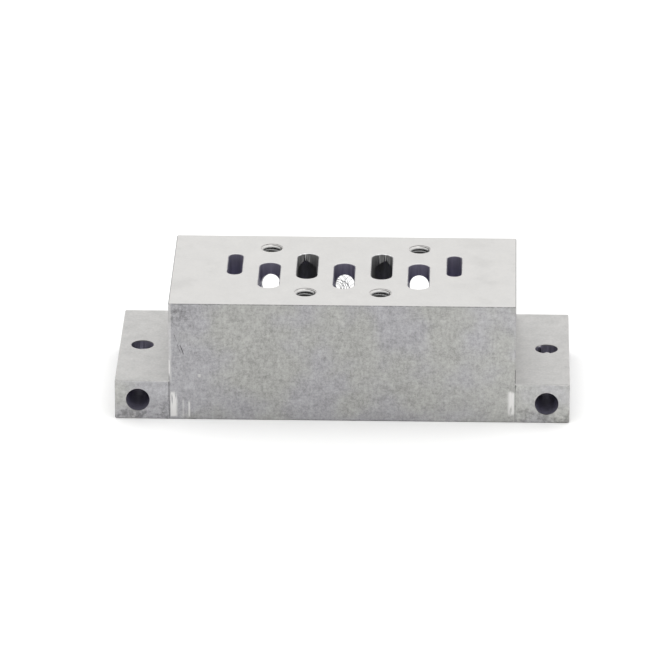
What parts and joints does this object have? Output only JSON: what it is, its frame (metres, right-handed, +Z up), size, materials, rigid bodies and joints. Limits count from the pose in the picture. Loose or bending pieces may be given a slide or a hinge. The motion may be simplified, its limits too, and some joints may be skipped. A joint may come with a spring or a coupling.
{
  "type": "valve sub-base",
  "caption": "One-piece machined aluminium sub-base for a pneumatic valve: raised block with port slots and tapped holes, and a drilled foot at each end.",
  "frame": {"origin": "middle of the bottom face", "axes": "+X along the length, -Y the plain front, +Y the face with the three ports, +Z up to the valve face"},
  "size_m": [0.109, 0.044, 0.03],
  "materials": {
    "machined_aluminium": "satin machined top, duller tumbled sides"
  },
  "bodies": {
    "root": {"sub_base": "machined_aluminium"}
  },
  "joints": []
}
